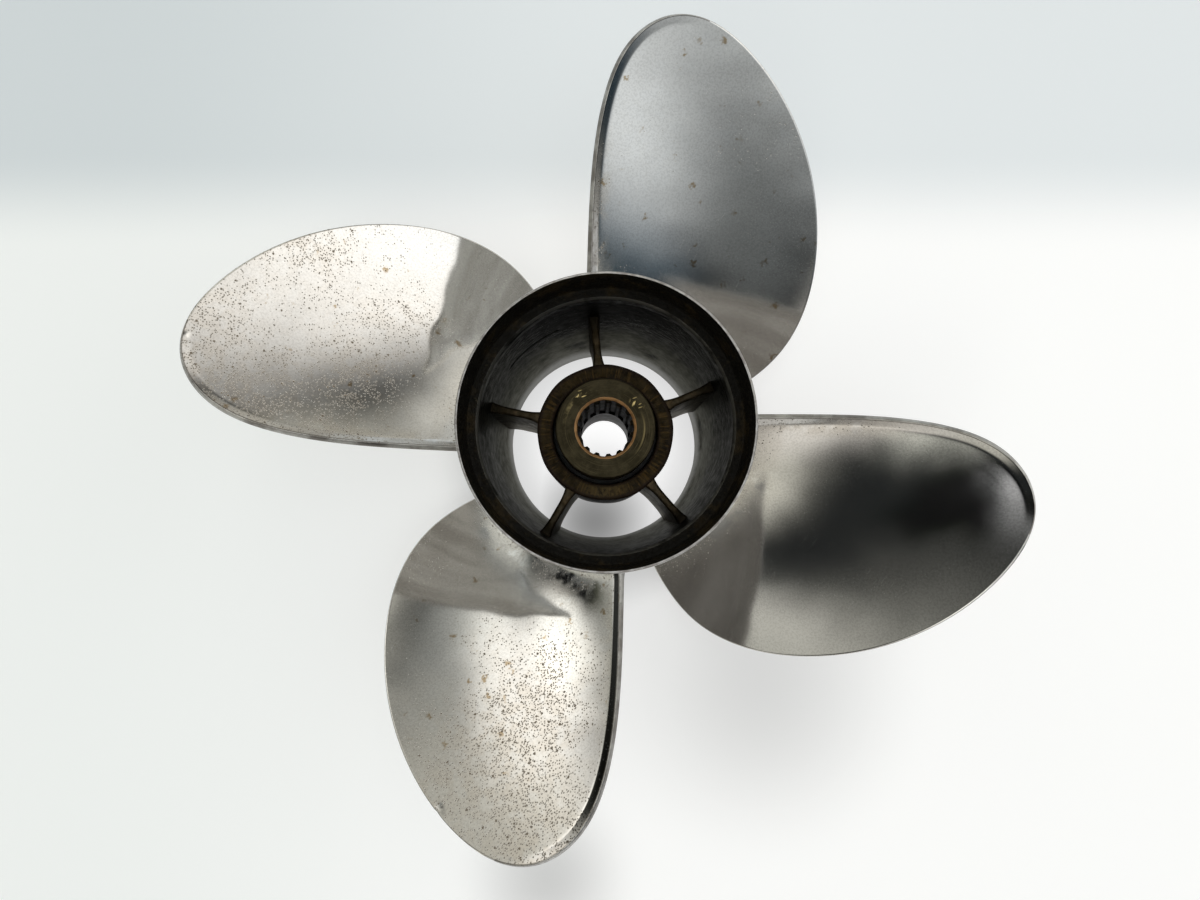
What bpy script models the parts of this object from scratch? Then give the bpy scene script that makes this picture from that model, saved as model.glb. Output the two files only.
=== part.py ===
"""Boat propeller with four blades and a hub that the exhaust passes through.

The shaft axis is Z. The propeller stands on the front end of its hub, at z = 0, with its aft end up.
It is right-handed: seen from the aft end, it drives the boat forward when it turns clockwise.
All sizes are in metres.
"""
import math

import bmesh
import bpy
from mathutils import Vector

# Clearance between pieces that touch or are pressed together
GAP = 0.0003

# Hub, from the front end up to the aft rim
HUB_LENGTH = 0.138
RIM_RADIUS = 0.062
RIM_WALL = 0.0013
FLARE_LENGTH = 0.026
FLARE_STEPS = 4
BARREL_RADIUS = 0.0602
FRONT_RADIUS = 0.0588
RECESS_DEPTH = 0.018
RECESS_RADIUS = 0.0593
LEDGE_RADIUS = 0.0556
WALL_RADIUS = 0.0537
WALL_BOTTOM = 0.045
THROAT_RADIUS = 0.0525
THROAT_BOTTOM = 0.015
MOUTH_RADIUS = 0.0505
MOUTH_TOP = 0.006
EDGE_BREAK = 0.0008
BARREL_STEPS = 72

# Inner barrel, the tube in the middle of the hub
INNER_TOP = HUB_LENGTH - 0.050
INNER_BOTTOM = 0.005
INNER_RADIUS = 0.0315
INNER_FRONT_RADIUS = 0.0320
INNER_BORE = 0.0243
INNER_STEPS = 60

# Ribs between the two barrels
RIB_COUNT = 5
RIB_THICKNESS = 0.0036
RIB_TOP = HUB_LENGTH - 0.054
RIB_BOTTOM = 0.010
RIB_BELOW_FACE = 0.001
FIRST_RIB_ANGLE = math.radians(23.5)

# Bronze sleeve with the shaft's spline
SLEEVE_TOP = HUB_LENGTH - 0.031
SLEEVE_BOTTOM = 0.014
COLLAR_RADIUS = 0.0222
COLLAR_BOTTOM = INNER_TOP - 0.006
SLEEVE_RADIUS = 0.0170
SPLINE_MINOR = 0.0113
SPLINE_MAJOR = 0.0125
SPLINE_CHAMFER = 0.0137
SPLINE_LENGTH = 0.044
SPLINE_TEETH = 15
SLOT_CLEARANCE = 0.0004
SLOT_FLOOR_SHARE = 0.44
SLOT_MOUTH_SHARE = 0.68
CUTTER_OVERRUN = 0.002
SLEEVE_STEPS = 60
SLEEVE_BORE = 0.0127
BORE_BEVEL = 0.001

# Rubber bush between the inner barrel and the sleeve
BUSH_TOP = COLLAR_BOTTOM - GAP
BUSH_BOTTOM = 0.018

# Blades
BLADE_COUNT = 4
PITCH = 16.3 * 0.0254
PITCH_EASE = 0.008
ROOT_Z = HUB_LENGTH - 0.0687
ROOT_ANGLE = math.radians(-5.2)
RAKE_SLOPE = 0.34
RAKE_CURVE = 0.81
TIP_RADIUS = 0.188
ROOT_THICKNESS = 0.0095
TIP_THICKNESS = 0.0030
THICKNESS_FALL = 1.5
TRAILING_THICKNESS = 0.0026
LEADING_THICKNESS = 0.0012
CUP_WIDTH = 0.010
CUP_HEIGHT = 0.0022
FILLET_RADIUS = 0.010
FILLET_HEIGHT = 0.005
FILLET_FADE = 0.125
SPAN_STEPS = 18
CHORD_STEPS = 12

# Outline of one blade seen along the shaft, in mm, as the control points of a smooth curve:
# up the trailing edge, round the tip and back down the leading edge
BLADE_OUTLINE = [
    (-5, 21), (-7, 48), (-6.5, 85), (-5, 127), (3.5, 164), (24, 183.5), (50, 185),
    (82, 162), (104, 126), (110, 82), (98, 46.5), (68, 26), (32, 14), (-6, 5),
]
TIP_PLACE = 0.44
LAST_SECTION = 0.995
SUNK_RADIUS = 0.0565


def clear_scene():
    for old in list(bpy.data.objects):
        bpy.data.objects.remove(old, do_unlink=True)


def collection(name):
    group = bpy.data.collections.new(name)
    bpy.context.scene.collection.children.link(group)
    return group


def metal(name, colour, roughness, metallic):
    material = bpy.data.materials.new(name)
    material.use_nodes = True
    shader = material.node_tree.nodes["Principled BSDF"]
    shader.inputs["Base Color"].default_value = (*colour, 1.0)
    shader.inputs["Roughness"].default_value = roughness
    shader.inputs["Metallic"].default_value = metallic
    material.diffuse_color = (*colour, 1.0)
    return material


def place(name, mesh, material, group):
    """Put a mesh in the scene under its own name, with its material."""
    piece = bpy.data.objects.new(name, mesh)
    if material is not None and not mesh.materials:
        mesh.materials.append(material)
    group.objects.link(piece)
    return piece


def hide_cutter(cutter):
    cutter.hide_render = True
    cutter.display_type = "WIRE"


def turned(name, profile, steps, material, group):
    """A ring turned from a closed profile of (radius, height) points, listed down its outer side first."""
    mesh = bpy.data.meshes.new(name)
    points = [(radius, 0.0, height) for radius, height in profile]
    count = len(points)
    mesh.from_pydata(points, [(i, (i + 1) % count) for i in range(count)], [])
    piece = place(name, mesh, material, group)
    screw = piece.modifiers.new("turn", "SCREW")
    screw.axis = "Z"
    screw.steps = steps
    screw.render_steps = steps
    screw.use_merge_vertices = True
    screw.merge_threshold = 0.00001
    screw.use_smooth_shade = True
    return piece


def extruded(name, outline, thickness, group):
    """A flat piece of even thickness, centred on its own XY plane, as a mesh with its caps welded."""
    curve = bpy.data.curves.new(name, "CURVE")
    curve.dimensions = "2D"
    curve.fill_mode = "BOTH"
    curve.extrude = thickness / 2
    spline = curve.splines.new("POLY")
    spline.points.add(len(outline) - 1)
    for point, (x, y) in zip(spline.points, outline):
        point.co = (x, y, 0.0, 1.0)
    spline.use_cyclic_u = True
    flat = bpy.data.objects.new(name + "_outline", curve)
    group.objects.link(flat)
    bpy.context.view_layer.update()
    solid = flat.evaluated_get(bpy.context.evaluated_depsgraph_get())
    mesh = bpy.data.meshes.new_from_object(solid)
    bpy.data.objects.remove(flat, do_unlink=True)
    weld = bmesh.new()
    weld.from_mesh(mesh)
    bmesh.ops.remove_doubles(weld, verts=weld.verts, dist=0.00001)
    bmesh.ops.recalc_face_normals(weld, faces=weld.faces)
    weld.to_mesh(mesh)
    weld.free()
    mesh.name = name
    return mesh


def flare():
    """The barrel's outer side below its rim, a curve that runs out smoothly into the straight part."""
    top = HUB_LENGTH - EDGE_BREAK
    points = []
    for i in range(FLARE_STEPS + 1):
        down = i / FLARE_STEPS
        radius = BARREL_RADIUS + (RIM_RADIUS - BARREL_RADIUS) * (1 - down) ** 2
        points.append((radius, top - (FLARE_LENGTH - EDGE_BREAK) * down))
    return points


# Outer barrel: its outer side runs from the flared rim to the front, its inner side back up to the recess
OUTER_SIDE = [
    (RIM_RADIUS - EDGE_BREAK / 2, HUB_LENGTH),
    *flare(),
    (FRONT_RADIUS, EDGE_BREAK * 2),
    (FRONT_RADIUS - EDGE_BREAK * 2, 0.0),
]
INNER_SIDE = [
    (MOUTH_RADIUS + EDGE_BREAK, 0.0),
    (MOUTH_RADIUS, EDGE_BREAK * 2),
    (MOUTH_RADIUS, MOUTH_TOP),
    (THROAT_RADIUS, THROAT_BOTTOM),
    (WALL_RADIUS, WALL_BOTTOM),
    (LEDGE_RADIUS - EDGE_BREAK, HUB_LENGTH - RECESS_DEPTH - EDGE_BREAK * 2),
    (LEDGE_RADIUS, HUB_LENGTH - RECESS_DEPTH),
    (RECESS_RADIUS, HUB_LENGTH - RECESS_DEPTH),
    (RIM_RADIUS - RIM_WALL, HUB_LENGTH),
]


def radius_at(side, height):
    """Radius of a barrel's side at a height, between the points of its profile."""
    points = sorted((z, radius) for radius, z in side)
    for (low_z, low_radius), (high_z, high_radius) in zip(points, points[1:]):
        if low_z <= height <= high_z:
            share = (height - low_z) / max(high_z - low_z, 1e-9)
            return low_radius + (high_radius - low_radius) * share
    return points[0][1] if height < points[0][0] else points[-1][1]


def inner_barrel_radius(height):
    share = (INNER_TOP - height) / (INNER_TOP - INNER_BOTTOM)
    return INNER_RADIUS + (INNER_FRONT_RADIUS - INNER_RADIUS) * min(max(share, 0.0), 1.0)


def outer_barrel(material, group):
    return turned("outer_barrel", OUTER_SIDE + INNER_SIDE, BARREL_STEPS, material, group)


def inner_barrel(material, group):
    profile = [
        (INNER_RADIUS - EDGE_BREAK, INNER_TOP),
        (INNER_RADIUS, INNER_TOP - EDGE_BREAK),
        (INNER_FRONT_RADIUS, INNER_BOTTOM),
        (INNER_BORE + EDGE_BREAK, INNER_BOTTOM),
        (INNER_BORE, INNER_BOTTOM + EDGE_BREAK),
        (INNER_BORE, INNER_TOP - EDGE_BREAK),
        (INNER_BORE + EDGE_BREAK, INNER_TOP),
    ]
    return turned("inner_barrel", profile, INNER_STEPS, material, group)


def rib_mesh(group):
    """A flat web that reaches from the inner barrel to the outer one and follows the taper of both walls."""
    half = RIB_THICKNESS / 2
    facet = math.cos(math.pi / BARREL_STEPS)
    heights = [RIB_BOTTOM, THROAT_BOTTOM, WALL_BOTTOM, RIB_TOP]
    outer_ends = []
    for z in heights:
        wall = radius_at(INNER_SIDE, z) * facet - GAP
        outer_ends.append((math.sqrt(wall * wall - half * half), z))
    top = INNER_TOP - RIB_BELOW_FACE
    inner_top = (inner_barrel_radius(top) + GAP, top)
    inner_bottom = (inner_barrel_radius(RIB_BOTTOM) + GAP, RIB_BOTTOM)
    return extruded("rib", outer_ends + [inner_top, inner_bottom], RIB_THICKNESS, group)


def ribs(material, group):
    mesh = rib_mesh(group)
    mesh.materials.append(material)
    for i in range(RIB_COUNT):
        rib = place(f"rib_{i + 1}", mesh, None, group)
        rib.rotation_euler = (math.pi / 2, 0.0, FIRST_RIB_ANGLE + i * 2 * math.pi / RIB_COUNT)


def outline_point(share):
    """Point of the blade's outline at a share of its way, on a uniform cubic B-spline."""
    spans = len(BLADE_OUTLINE) - 3
    place_on_curve = min(max(share, 0.0), 1.0) * spans
    first = min(int(place_on_curve), spans - 1)
    t = place_on_curve - first
    weights = (
        (1 - t) ** 3 / 6,
        (3 * t ** 3 - 6 * t ** 2 + 4) / 6,
        (-3 * t ** 3 + 3 * t ** 2 + 3 * t + 1) / 6,
        t ** 3 / 6,
    )
    x = sum(w * BLADE_OUTLINE[first + k][0] for k, w in enumerate(weights)) / 1000
    y = sum(w * BLADE_OUTLINE[first + k][1] for k, w in enumerate(weights)) / 1000
    return x, y


def outline_polar(share):
    """The same point as its radius and its angle from the blade's own +Y line, clockwise negative."""
    x, y = outline_point(share)
    return math.hypot(x, y), math.atan2(y, x) - math.pi / 2


def root_share(start, end):
    """Where the outline passes the radius that the root is sunk to, found by halving."""
    for _ in range(40):
        middle = (start + end) / 2
        if outline_polar(middle)[0] < SUNK_RADIUS:
            start = middle
        else:
            end = middle
    return end


def blade_height(radius, angle):
    """Height of the driving face: a helix that rakes aft, its pitch easing off towards the leading edge."""
    span = radius - RIM_RADIUS
    turn = angle - ROOT_ANGLE
    rake = RAKE_SLOPE * span + RAKE_CURVE * span * span
    return ROOT_Z + rake + PITCH / (2 * math.pi) * turn + PITCH_EASE * turn * turn


def face_point(radius, angle):
    return Vector((-radius * math.sin(angle), radius * math.cos(angle), blade_height(radius, angle)))


def face_normal(radius, angle):
    step = 0.0002
    along = face_point(radius + step, angle) - face_point(radius - step, angle)
    across = face_point(radius, angle + step / radius) - face_point(radius, angle - step / radius)
    normal = along.cross(across).normalized()
    return normal if normal.z > 0 else -normal


def blade_thickness(radius, chord_share):
    """Thickness at a radius and at a share of the way from the trailing edge to the leading edge."""
    outboard = min(max((radius - RIM_RADIUS) / (TIP_RADIUS - RIM_RADIUS), 0.0), 1.0)
    middle = TIP_THICKNESS + (ROOT_THICKNESS - TIP_THICKNESS) * (1 - outboard) ** THICKNESS_FALL
    edge = TRAILING_THICKNESS + (LEADING_THICKNESS - TRAILING_THICKNESS) * chord_share
    bulge = 4 * chord_share * (1 - chord_share)
    return edge + (max(middle, edge) - edge) * bulge


def blade_section(outward, trailing_start, leading_start):
    """Closed ring of points: along the driving face to the leading edge, and back along the other side."""
    trailing = outline_polar(trailing_start + (TIP_PLACE - trailing_start) * outward)
    leading = outline_polar(leading_start + (TIP_PLACE - leading_start) * outward)
    front_side = []
    back_side = []
    for j in range(CHORD_STEPS + 1):
        share = (1 - math.cos(math.pi * j / CHORD_STEPS)) / 2
        radius = trailing[0] + (leading[0] - trailing[0]) * share
        angle = trailing[1] + (leading[1] - trailing[1]) * share
        normal = face_normal(radius, angle)
        point = face_point(radius, angle)
        from_edge = radius * abs(angle - trailing[1])
        cup = CUP_HEIGHT * max(0.0, 1 - from_edge / CUP_WIDTH) ** 2
        above_root = min(1.0, max(0.0, 1 - (radius - BARREL_RADIUS) / FILLET_RADIUS))
        inside = min(1.0, share / FILLET_FADE, (1 - share) / FILLET_FADE)
        fillet = FILLET_HEIGHT * above_root ** 2 * inside
        face = point + normal * fillet + Vector((0.0, 0.0, cup))
        back = face - normal * (blade_thickness(radius, share) + 2 * fillet)
        front_side.append(face)
        back_side.append(back)
    return front_side + back_side[::-1]


def blade_mesh():
    """Loft of the blade from its root to its tip, with both ends capped."""
    trailing_start = root_share(0.0, 0.3)
    leading_start = root_share(1.0, 0.7)
    shape = bmesh.new()
    rings = []
    for i in range(SPAN_STEPS + 1):
        outward = LAST_SECTION * math.sin(math.pi / 2 * i / SPAN_STEPS)
        section = blade_section(outward, trailing_start, leading_start)
        rings.append([shape.verts.new(point) for point in section])
    for lower, upper in zip(rings, rings[1:]):
        for j in range(len(lower)):
            k = (j + 1) % len(lower)
            shape.faces.new((lower[j], lower[k], upper[k], upper[j]))
    for ring in (rings[0], rings[-1]):
        for j in range(CHORD_STEPS):
            shape.faces.new((ring[j], ring[j + 1], ring[-2 - j], ring[-1 - j]))
    bmesh.ops.recalc_face_normals(shape, faces=shape.faces)
    bmesh.ops.triangulate(shape, faces=shape.faces)
    mesh = bpy.data.meshes.new("blade")
    shape.to_mesh(mesh)
    shape.free()
    return mesh


def barrel_cutter(group):
    """The barrel's outer shape, a gap larger, filled to its axis: it trims the sunk roots of the blades."""
    profile = [(0.0, HUB_LENGTH + GAP)]
    profile += [(radius + GAP, height) for radius, height in OUTER_SIDE]
    profile += [(0.0, -GAP)]
    cutter = turned("barrel_cutter", profile, BARREL_STEPS, None, group)
    hide_cutter(cutter)
    return cutter


def blades(material, group, cutter):
    mesh = blade_mesh()
    mesh.materials.append(material)
    mesh.shade_smooth()
    mesh.set_sharp_from_angle(angle=math.radians(35))
    for i in range(BLADE_COUNT):
        blade = place(f"blade_{i + 1}", mesh, None, group)
        blade.rotation_euler = (0.0, 0.0, -i * 2 * math.pi / BLADE_COUNT)
        trim = blade.modifiers.new("root", "BOOLEAN")
        trim.operation = "DIFFERENCE"
        trim.solver = "EXACT"
        trim.object = cutter


def rubber_bush(material, group):
    profile = [
        (INNER_BORE - GAP, BUSH_TOP),
        (INNER_BORE - GAP, BUSH_BOTTOM),
        (SLEEVE_RADIUS + GAP, BUSH_BOTTOM),
        (SLEEVE_RADIUS + GAP, BUSH_TOP),
    ]
    return turned("rubber_bush", profile, INNER_STEPS, material, group)


def spline_cutter(group):
    """A rod with a tooth for each slot that it cuts between the sleeve's own teeth."""
    slot = 2 * math.pi / SPLINE_TEETH
    below_crest = SPLINE_MINOR - SLOT_CLEARANCE
    corners = (
        (below_crest, -SLOT_MOUTH_SHARE / 2),
        (SPLINE_MAJOR, -SLOT_FLOOR_SHARE / 2),
        (SPLINE_MAJOR, SLOT_FLOOR_SHARE / 2),
        (below_crest, SLOT_MOUTH_SHARE / 2),
    )
    outline = []
    for i in range(SPLINE_TEETH):
        for radius, share in corners:
            angle = (i + share) * slot
            outline.append((radius * math.cos(angle), radius * math.sin(angle)))
    length = SPLINE_LENGTH + 2 * CUTTER_OVERRUN
    cutter = place("spline_cutter", extruded("spline_cutter", outline, length, group), None, group)
    cutter.location.z = SLEEVE_TOP - SPLINE_LENGTH / 2
    hide_cutter(cutter)
    return cutter


def spline_sleeve(material, group, cutter):
    spline_end = SLEEVE_TOP - SPLINE_LENGTH
    profile = [
        (COLLAR_RADIUS - EDGE_BREAK, SLEEVE_TOP),
        (COLLAR_RADIUS, SLEEVE_TOP - EDGE_BREAK),
        (COLLAR_RADIUS, COLLAR_BOTTOM),
        (SLEEVE_RADIUS, COLLAR_BOTTOM),
        (SLEEVE_RADIUS, SLEEVE_BOTTOM + EDGE_BREAK),
        (SLEEVE_RADIUS - EDGE_BREAK, SLEEVE_BOTTOM),
        (SLEEVE_BORE + EDGE_BREAK, SLEEVE_BOTTOM),
        (SLEEVE_BORE, SLEEVE_BOTTOM + EDGE_BREAK),
        (SLEEVE_BORE, spline_end - BORE_BEVEL),
        (SPLINE_MINOR, spline_end),
        (SPLINE_MINOR, SLEEVE_TOP - (SPLINE_CHAMFER - SPLINE_MINOR)),
        (SPLINE_CHAMFER, SLEEVE_TOP),
    ]
    sleeve = turned("spline_sleeve", profile, SLEEVE_STEPS, material, group)
    cut = sleeve.modifiers.new("spline", "BOOLEAN")
    cut.operation = "DIFFERENCE"
    cut.solver = "EXACT"
    cut.object = cutter
    return sleeve


clear_scene()
propeller = collection("boat_propeller")
cutters = collection("cutters")

polished = metal("polished_stainless", (0.62, 0.62, 0.62), 0.18, 1.0)
satin = metal("satin_stainless", (0.16, 0.16, 0.155), 0.42, 0.9)
rusty = metal("rusty_cast_steel", (0.10, 0.055, 0.025), 0.65, 0.6)
bronze = metal("dull_bronze", (0.11, 0.10, 0.08), 0.45, 0.8)
rubber = metal("black_rubber", (0.012, 0.012, 0.012), 0.8, 0.0)

outer_barrel(satin, propeller)
inner_barrel(rusty, propeller)
ribs(rusty, propeller)
blades(polished, propeller, barrel_cutter(cutters))
rubber_bush(rubber, propeller)
spline_sleeve(bronze, propeller, spline_cutter(cutters))
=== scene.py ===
"""A four-blade stainless boat propeller standing on the front end of its hub, aft end up.

Sizes are in metres. The shaft axis is Z, and the hub's front end is at z = 0.
"""
import math
import random

import bmesh
import bpy
import numpy as np
from mathutils import Euler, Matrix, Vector


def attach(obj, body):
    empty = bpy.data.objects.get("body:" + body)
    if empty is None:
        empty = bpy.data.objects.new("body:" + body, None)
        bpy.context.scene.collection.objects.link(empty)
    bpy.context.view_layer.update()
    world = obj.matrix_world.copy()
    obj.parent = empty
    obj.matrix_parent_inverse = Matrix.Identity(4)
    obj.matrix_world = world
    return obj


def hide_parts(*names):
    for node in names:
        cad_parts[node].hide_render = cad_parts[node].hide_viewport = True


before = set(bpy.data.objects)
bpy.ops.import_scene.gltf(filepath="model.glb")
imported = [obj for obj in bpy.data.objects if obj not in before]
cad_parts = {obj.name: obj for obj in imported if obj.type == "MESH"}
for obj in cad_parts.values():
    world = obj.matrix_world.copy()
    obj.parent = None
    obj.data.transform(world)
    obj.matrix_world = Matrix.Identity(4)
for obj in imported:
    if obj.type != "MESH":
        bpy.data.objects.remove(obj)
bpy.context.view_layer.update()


# Outer barrel: the hub's outer tube, cast in stainless steel with the blades and turned at its ends.
# Its outside is polished. Inside, the exhaust has blackened the stepped recess and browned the wall,
# which keeps a long groove and a slot from the casting core. The wall is painted lighter towards the
# front end, where the floor lights it, and darker higher up and on its +Y side, as painted shade.
HUB_LENGTH = 0.138
RIM_RADIUS = 0.062
RIM_WALL = 0.0013
FLARE_LENGTH = 0.026
BARREL_RADIUS = 0.0602
FRONT_RADIUS = 0.0588
RECESS_FLOOR = HUB_LENGTH - 0.018
RECESS_RADIUS = 0.0593
LEDGE_RADIUS = 0.0556
WALL_RADIUS = 0.0537
WALL_BOTTOM = 0.045
THROAT_RADIUS = 0.0525
THROAT_BOTTOM = 0.015
MOUTH_RADIUS = 0.0505
MOUTH_TOP = 0.006
RIM_ROUND = 0.0008
FLARE_STEPS = 8
BARREL_STEPS = 360
ARC_POINTS = 6
SOOT = (0.0045, 0.0038, 0.0024)
CAST_GREY_FLOOR_LIT = (0.17, 0.168, 0.155)


class Pattern:
    """The nodes of one material, and the few kinds of pattern that it is made of."""

    def __init__(self, tree):
        self.tree = tree

    def add(self, kind, **settings):
        node = self.tree.nodes.new(kind)
        for name, value in settings.items():
            setattr(node, name, value)
        return node

    def feed(self, socket, value):
        """Give a socket a number, a colour, or what another node puts out."""
        if isinstance(value, bpy.types.NodeSocket):
            self.tree.links.new(value, socket)
        elif isinstance(value, tuple) and len(value) == 3 and len(socket.default_value) == 4:
            socket.default_value = (*value, 1.0)
        else:
            socket.default_value = value

    def maths(self, operation, a, b=0.0):
        node = self.add("ShaderNodeMath", operation=operation)
        self.feed(node.inputs[0], a)
        self.feed(node.inputs[1], b)
        return node.outputs[0]

    def times(self, first, *others):
        for other in others:
            first = self.maths("MULTIPLY", first, other)
        return first

    def band(self, value, low, high, bottom=0.0, top=1.0):
        """A smooth step: bottom below low, top above high."""
        if low > high:
            low, high, bottom, top = high, low, top, bottom
        node = self.add("ShaderNodeMapRange", interpolation_type="SMOOTHSTEP")
        self.feed(node.inputs["Value"], value)
        for name, number in (("From Min", low), ("From Max", high), ("To Min", bottom), ("To Max", top)):
            self.feed(node.inputs[name], number)
        return node.outputs[0]

    def between(self, value, low, high, soft):
        """1 from low to high, and 0 further than soft outside them."""
        rise = self.band(value, low - soft, low)
        return self.times(rise, self.band(value, high + soft, high))

    def blend(self, share, first, second):
        node = self.add("ShaderNodeMix", data_type="RGBA")
        self.feed(node.inputs["Factor"], share)
        self.feed(node.inputs[6], first)
        self.feed(node.inputs[7], second)
        return node.outputs[2]

    def vector(self, x, y, z):
        node = self.add("ShaderNodeCombineXYZ")
        for socket, value in zip(node.inputs, (x, y, z)):
            self.feed(socket, value)
        return node.outputs[0]

    def apart(self, vector):
        node = self.add("ShaderNodeSeparateXYZ")
        self.feed(node.inputs[0], vector)
        return node.outputs["X"], node.outputs["Y"], node.outputs["Z"]


class Finish(Pattern):
    """One surface finish of the propeller."""

    def __init__(self, name, colour, roughness, metallic, gloss=0.5):
        self.material = bpy.data.materials.new(name)
        self.material.use_nodes = True
        self.material.diffuse_color = (*colour, 1.0)
        super().__init__(self.material.node_tree)
        self.shader = self.tree.nodes["Principled BSDF"]
        self.place = self.add("ShaderNodeTexCoord").outputs["Object"]
        self.set(base_color=colour, roughness=roughness, metallic=metallic)
        self.shader.inputs["Specular IOR Level"].default_value = gloss

    def set(self, **sockets):
        for name, value in sockets.items():
            self.feed(self.shader.inputs[name.replace("_", " ").title()], value)

    def attribute(self, name):
        return self.add("ShaderNodeAttribute", attribute_name=name).outputs["Fac"]

    def measure(self):
        """Radius, angle and height of the surface about the shaft."""
        x, y, z = self.apart(self.place)
        square = self.maths("ADD", self.times(x, x), self.times(y, y))
        return self.maths("SQRT", square), self.maths("ARCTAN2", y, x), z

    def rolled(self, fineness, along):
        """A place for marks on a turned surface: fineness sets how often they change round it."""
        angle = self.measure()[1]
        cos = self.times(self.maths("COSINE", angle), fineness)
        sin = self.times(self.maths("SINE", angle), fineness)
        return self.vector(cos, sin, along)

    def stretched(self, scale, turn=0.0):
        """The surface's own place turned about the shaft and scaled, for grain that runs one way."""
        mapping = self.add("ShaderNodeMapping", vector_type="TEXTURE")
        self.feed(mapping.inputs["Vector"], self.place)
        mapping.inputs["Rotation"].default_value = (0.0, 0.0, turn)
        mapping.inputs["Scale"].default_value = scale
        return mapping.outputs[0]

    def cloud(self, scale, detail, rough, where=None):
        """Cloudy noise. rough says how strong its fine detail is."""
        node = self.add("ShaderNodeTexNoise")
        self.feed(node.inputs["Vector"], where or self.place)
        node.inputs["Scale"].default_value = scale
        node.inputs["Detail"].default_value = detail
        node.inputs["Roughness"].default_value = rough
        return node.outputs["Fac"]

    def spots(self, spacing, size, share, soft=0.10, wobble=0.0, where=None):
        """Scattered spots of about one size, at a share of the places, shaken out of round by wobble."""
        where = where or self.place
        if wobble:
            shake = self.add("ShaderNodeTexNoise")
            self.feed(shake.inputs["Vector"], where)
            shake.inputs["Scale"].default_value = 2.0 / size
            shake.inputs["Detail"].default_value = 2.0
            moved = self.add("ShaderNodeVectorMath", operation="MULTIPLY_ADD")
            self.feed(moved.inputs[0], shake.outputs["Color"])
            moved.inputs[1].default_value = (wobble * size,) * 3
            self.feed(moved.inputs[2], where)
            where = moved.outputs[0]
        cells = self.add("ShaderNodeTexVoronoi", feature="F1")
        self.feed(cells.inputs["Vector"], where)
        cells.inputs["Scale"].default_value = 1 / spacing
        pick = self.add("ShaderNodeSeparateColor")
        self.feed(pick.inputs[0], cells.outputs["Color"])
        reach = self.times(self.maths("SUBTRACT", share, pick.outputs[0]), 1.6 * size / spacing)
        reach = self.maths("MINIMUM", reach, 0.5 * size / spacing)
        return self.band(self.maths("SUBTRACT", reach, cells.outputs["Distance"]), 0.0, soft)

    def near(self, point, reach):
        """1 at a point of the surface, fading to 0 at a reach from it."""
        node = self.add("ShaderNodeVectorMath", operation="DISTANCE")
        self.feed(node.inputs[0], self.place)
        node.inputs[1].default_value = point
        return self.band(node.outputs["Value"], reach, 0.0)

    def bump(self, height, depth, under=None):
        node = self.add("ShaderNodeBump")
        self.feed(node.inputs["Height"], height)
        node.inputs["Distance"].default_value = depth
        if under is not None:
            self.feed(node.inputs["Normal"], under)
        return node.outputs[0]


def closed_grid(name, points, around=True):
    """A mesh over a grid of points whose columns close on themselves, and its rows too where around."""
    rows, columns = points.shape[:2]
    numbers = np.arange(rows * columns).reshape(rows, columns)
    low = numbers if around else numbers[:-1]
    high = np.roll(numbers, -1, axis=0) if around else numbers[1:]
    quads = np.stack([low, np.roll(low, -1, axis=1), np.roll(high, -1, axis=1), high], axis=-1)
    mesh = bpy.data.meshes.new(name)
    mesh.from_pydata(points.reshape(-1, 3).tolist(), [], quads.reshape(-1, 4).tolist())
    return mesh


def finish_mesh(mesh, sharp_angle):
    """Close any open ends, turn all faces outward and shade the mesh smooth up to an angle in degrees."""
    work = bmesh.new()
    work.from_mesh(mesh)
    bmesh.ops.remove_doubles(work, verts=work.verts, dist=1e-7)
    bmesh.ops.holes_fill(work, edges=[edge for edge in work.edges if edge.is_boundary])
    bmesh.ops.recalc_face_normals(work, faces=work.faces)
    work.to_mesh(mesh)
    work.free()
    mesh.shade_smooth()
    mesh.set_sharp_from_angle(angle=math.radians(sharp_angle))


def softened(corners, spacing):
    """A closed profile with an arc at each corner and a point at least every spacing along it."""
    arcs = []
    count = len(corners)
    for i, (radius, height, rounding) in enumerate(corners):
        here = Vector((radius, height))
        before = Vector(corners[i - 1][:2]) - here
        after = Vector(corners[(i + 1) % count][:2]) - here
        reach = min(rounding, before.length * 0.45, after.length * 0.45)
        start = here + before.normalized() * reach
        end = here + after.normalized() * reach
        steps = np.linspace(0, 1, ARC_POINTS)
        arc = [start * (1 - t) ** 2 + here * 2 * t * (1 - t) + end * t * t for t in steps]
        arcs.append(arc if rounding > 0 else [here])
    points = []
    for i, arc in enumerate(arcs):
        points += arc
        start, end = arc[-1], arcs[(i + 1) % count][0]
        pieces = max(1, math.ceil((end - start).length / spacing))
        points += [start.lerp(end, k / pieces) for k in range(1, pieces)]
    return np.array([tuple(point) for point in points])


def turned(name, corners, steps, spacing, shape=None):
    """A turned ring. shape may move its points, given their radii, heights and angles."""
    profile = softened(corners, spacing)
    angles = np.arange(steps) * 2 * math.pi / steps
    radii, turns = np.meshgrid(profile[:, 0], angles, indexing="ij")
    heights = np.meshgrid(profile[:, 1], angles, indexing="ij")[0]
    if shape is not None:
        radii, heights = shape(radii, heights, turns)
    mesh = closed_grid(name, np.stack([radii * np.cos(turns), radii * np.sin(turns), heights], axis=-1))
    finish_mesh(mesh, sharp_angle=40)
    return mesh


def in_place(name, mesh, nodes, finishes):
    """Put a piece where its CAD nodes are, in their stead, with its finishes."""
    piece = bpy.data.objects.new(name, mesh)
    bpy.context.scene.collection.objects.link(piece)
    for finish in finishes:
        mesh.materials.append(finish.material)
    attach(piece, "root")
    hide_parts(*nodes)


def flare(share):
    """Outer radius of the barrel below its rim, at a share of the flare's length."""
    return BARREL_RADIUS + (RIM_RADIUS - BARREL_RADIUS) * (1 - share) ** 2


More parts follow.
